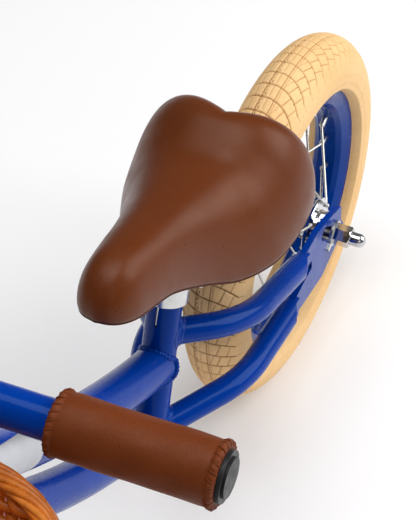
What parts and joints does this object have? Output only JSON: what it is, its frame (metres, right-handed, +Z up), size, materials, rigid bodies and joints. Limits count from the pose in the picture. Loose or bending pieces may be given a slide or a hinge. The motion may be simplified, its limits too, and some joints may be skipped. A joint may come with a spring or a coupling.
{
  "type": "balance bike",
  "caption": "Child's balance bike: blue tube frame, cream spoked wheels, steering fork, brown leather saddle and grips, and a wicker basket strapped to the handlebar.",
  "frame": {"origin": "on the ground, half way between the two axles, in the bike's middle plane", "axes": "+X forwards, +Y to the rider's left, +Z up"},
  "size_m": [0.88, 0.3548, 0.4757],
  "materials": {
    "blue_paint": "gloss enamel, royal blue",
    "rim_paint": "gloss enamel on the rim, royal blue",
    "cream_tyre": "matte cream rubber with a moulded tread",
    "black_rubber": "smooth black rubber",
    "tan_leather": "satin brown leather, stitched",
    "saddle_leather": "fine-grained brown leather, satin",
    "black_plastic": "moulded black plastic",
    "wicker": "woven cane, honey-brown stain",
    "badge_plate": "blank satin name plate",
    "bright_chrome": "bright chrome plate",
    "cast_alloy": "polished alloy",
    "zinc_steel": "zinc-plated steel"
  },
  "bodies": {
    "frame": {"head_tube": "blue_paint", "top_tube": "blue_paint", "down_tube": "blue_paint", "seat_tube": "blue_paint", "left_upper_stay": "blue_paint", "right_upper_stay": "blue_paint", "left_lower_stay": "blue_paint", "right_lower_stay": "blue_paint", "left_dropout": "blue_paint", "right_dropout": "blue_paint", "seat_clamp": "cast_alloy", "seat_clamp_bolt": "zinc_steel", "headset_cups": "bright_chrome", "headset_balls": "zinc_steel", "badge": "badge_plate", "rear_axle": "zinc_steel", "rear_cones": "zinc_steel", "rear_axle_nuts": "bright_chrome", "rear_washers": "zinc_steel"},
    "fork": {"fork_steerer": "blue_paint", "fork_crown": "blue_paint", "left_fork_blade": "blue_paint", "right_fork_blade": "blue_paint", "fork_ends": "blue_paint", "headset_races": "bright_chrome", "headset_locknut": "bright_chrome", "front_axle": "zinc_steel", "front_cones": "zinc_steel", "front_axle_nuts": "bright_chrome", "front_washers": "zinc_steel"},
    "handlebar_assembly": {"stem": "bright_chrome", "stem_bolts": "zinc_steel", "stem_wedge": "zinc_steel", "handlebar": "blue_paint", "left_grip": "tan_leather", "right_grip": "tan_leather", "grip_plugs": "black_plastic", "basket_bowl": "wicker", "basket_rim": "wicker", "basket_straps": "tan_leather", "strap_buckles": "bright_chrome"},
    "front_wheel": {"front_tyre": "cream_tyre", "front_inner_tube": "black_rubber", "front_rim": "rim_paint", "front_spokes": "zinc_steel", "front_hub": "bright_chrome", "front_hub_balls": "zinc_steel"},
    "rear_wheel": {"rear_tyre": "cream_tyre", "rear_inner_tube": "black_rubber", "rear_rim": "rim_paint", "rear_spokes": "zinc_steel", "rear_hub": "bright_chrome", "rear_hub_balls": "zinc_steel"},
    "seatpost_assembly": {"seatpost": "bright_chrome", "saddle_clamp_bolt": "zinc_steel"},
    "saddle": {"saddle_cover": "saddle_leather", "saddle_base": "black_plastic", "saddle_rails": "zinc_steel", "saddle_clamp": "zinc_steel"}
  },
  "joints": [
    {"name": "steering", "type": "hinge", "parent": "frame", "child": "fork", "pos_m": [0.19126, 0, 0.34818], "axis": [-0.342, 0, 0.9397], "range_deg": [-50, 50]},
    {"name": "stem_height", "type": "slide", "parent": "fork", "child": "handlebar_assembly", "axis": [-0.342, 0, 0.9397], "range_m": [0, 0.03]},
    {"name": "front_wheel_spin", "type": "hinge", "parent": "fork", "child": "front_wheel", "pos_m": [0.29, 0, 0.15], "axis": [0, 1, 0], "continuous": true},
    {"name": "rear_wheel_spin", "type": "hinge", "parent": "frame", "child": "rear_wheel", "pos_m": [-0.29, 0, 0.15], "axis": [0, 1, 0], "continuous": true},
    {"name": "seat_height", "type": "slide", "parent": "frame", "child": "seatpost_assembly", "axis": [-0.2756, 0, 0.9613], "range_m": [0, 0.06]},
    {"name": "saddle_tilt", "type": "hinge", "parent": "seatpost_assembly", "child": "saddle", "pos_m": [-0.09319, 0, 0.276], "axis": [0, 1, 0], "range_deg": [0, 12]}
  ]
}
